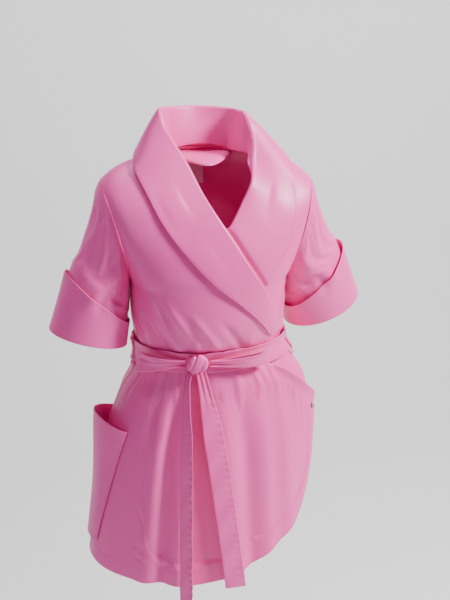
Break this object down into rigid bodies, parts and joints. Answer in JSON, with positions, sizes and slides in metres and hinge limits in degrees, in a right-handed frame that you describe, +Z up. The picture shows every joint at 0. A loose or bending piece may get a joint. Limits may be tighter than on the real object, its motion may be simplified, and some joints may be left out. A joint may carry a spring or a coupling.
{
  "type": "patient gown",
  "caption": "Short-sleeved wrap gown with a shawl collar, turned-up cuffs, a belt tied in a bow, a hip patch pocket and a press-stud overlap.",
  "frame": {"origin": "middle of the neck opening, level with the points where the shoulders meet the neck", "axes": "+Z up, +X to the wearer's left, the front of the gown faces -Y"},
  "size_m": [0.6508, 0.3446, 0.9925],
  "materials": {
    "gown_cloth": "closely woven cotton with a satin face",
    "facing_cloth": "the same cotton, single thickness",
    "tape": "matt woven tape",
    "snap_metal": "satin plated"
  },
  "bodies": {
    "root": {"back_panel": "gown_cloth", "left_front": "gown_cloth", "right_front": "gown_cloth", "underlap_facing": "facing_cloth", "collar_right": "gown_cloth", "collar_left": "gown_cloth", "back_neck_facing": "facing_cloth", "belt_band": "gown_cloth", "belt_knot": "gown_cloth", "belt_carrier_right": "gown_cloth", "belt_carrier_left": "gown_cloth", "snap_stud": "snap_metal", "snap_foot": "snap_metal"},
    "right_sleeve": {"right_sleeve": "gown_cloth", "right_cuff": "gown_cloth"},
    "left_sleeve": {"left_sleeve": "gown_cloth", "left_cuff": "gown_cloth"},
    "overlap": {"overlap_flap": "gown_cloth", "overlap_facing": "facing_cloth", "snap_cap": "snap_metal", "snap_socket": "snap_metal"},
    "tail_front": {"belt_tail_front": "gown_cloth"},
    "tail_back": {"belt_tail_back": "gown_cloth"},
    "bow_right": {"bow_loop_right": "gown_cloth"},
    "bow_left": {"bow_loop_left": "gown_cloth"},
    "pocket": {"pocket_patch": "gown_cloth", "pocket_mouth_facing": "facing_cloth"},
    "hanger": {"hanger_loop": "tape"},
    "label": {"care_label": "tape"}
  },
  "joints": [
    {"name": "right_sleeve_lift", "type": "hinge", "parent": "root", "child": "right_sleeve", "pos_m": [-0.204, 0, -0.047], "axis": [0, 1, 0], "range_deg": [0, 45]},
    {"name": "left_sleeve_lift", "type": "hinge", "parent": "root", "child": "left_sleeve", "pos_m": [0.21, 0, -0.055], "axis": [0, -1, 0], "range_deg": [0, 45]},
    {"name": "overlap_open", "type": "hinge", "parent": "root", "child": "overlap", "pos_m": [0.1, -0.1335, -0.604], "axis": [0, -0.1032, -0.9947], "range_deg": [0, 50]},
    {"name": "front_tail_swing", "type": "hinge", "parent": "root", "child": "tail_front", "pos_m": [-0.035, -0.119, -0.402], "axis": [-1, 0, 0], "range_deg": [0, 35]},
    {"name": "back_tail_swing", "type": "hinge", "parent": "root", "child": "tail_back", "pos_m": [-0.047, -0.136, -0.402], "axis": [-1, 0, 0], "range_deg": [0, 50]},
    {"name": "right_bow_fold", "type": "hinge", "parent": "root", "child": "bow_right", "pos_m": [-0.06, -0.112, -0.385], "axis": [0, 0, 1], "range_deg": [0, 50]},
    {"name": "left_bow_fold", "type": "hinge", "parent": "root", "child": "bow_left", "pos_m": [-0.017, -0.122, -0.385], "axis": [0, 0, -1], "range_deg": [0, 50]},
    {"name": "pocket_mouth_open", "type": "hinge", "parent": "root", "child": "pocket", "pos_m": [-0.246, 0.03, -0.79], "axis": [0, -1, 0], "range_deg": [0, 6]},
    {"name": "hanger_loop_flip", "type": "hinge", "parent": "root", "child": "hanger", "pos_m": [0, 0.0623, -0.0066], "axis": [-1, 0, 0], "range_deg": [0, 120]},
    {"name": "care_label_flip", "type": "hinge", "parent": "root", "child": "label", "pos_m": [0, 0.0845, -0.034], "axis": [-1, 0, 0], "range_deg": [0, 70]}
  ]
}
